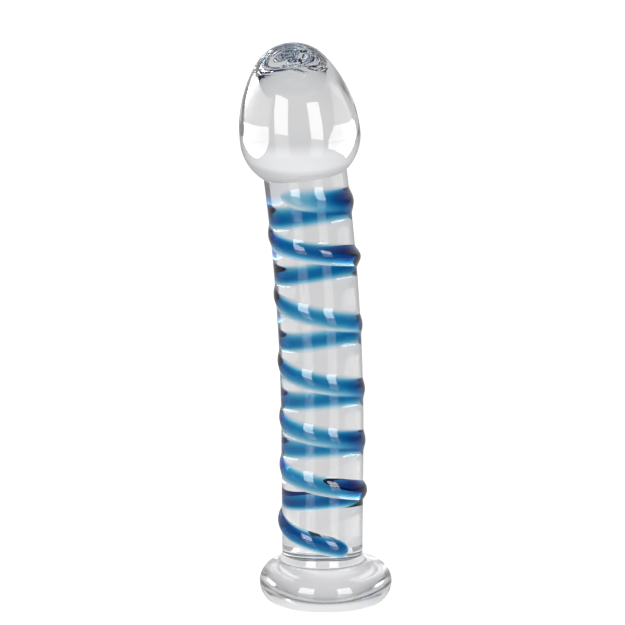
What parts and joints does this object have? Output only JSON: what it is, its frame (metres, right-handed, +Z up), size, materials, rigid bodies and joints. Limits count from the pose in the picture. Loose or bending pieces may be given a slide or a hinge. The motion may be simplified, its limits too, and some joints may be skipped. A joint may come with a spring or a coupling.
{
  "type": "glass massage wand",
  "caption": "Solid clear glass massage wand with an egg-shaped head, a gently bent rod wound with a raised blue glass trail, and a round flat foot that lets it stand upright.",
  "frame": {"origin": "centre of the foot's flat underside, on the table", "axes": "+Z up along the straight lower part of the rod; the rod bends toward -X in the XZ plane; +Y completes the frame"},
  "size_m": [0.0484, 0.042, 0.1771],
  "materials": {
    "clear_glass": "fire-polished clear borosilicate glass, colourless and very smooth",
    "blue_glass": "transparent mid-blue glass, melted into the rod with soft edges"
  },
  "bodies": {
    "root": {"head": "clear_glass", "rod": "clear_glass", "foot": "clear_glass", "blue_trail": "blue_glass"}
  },
  "joints": []
}
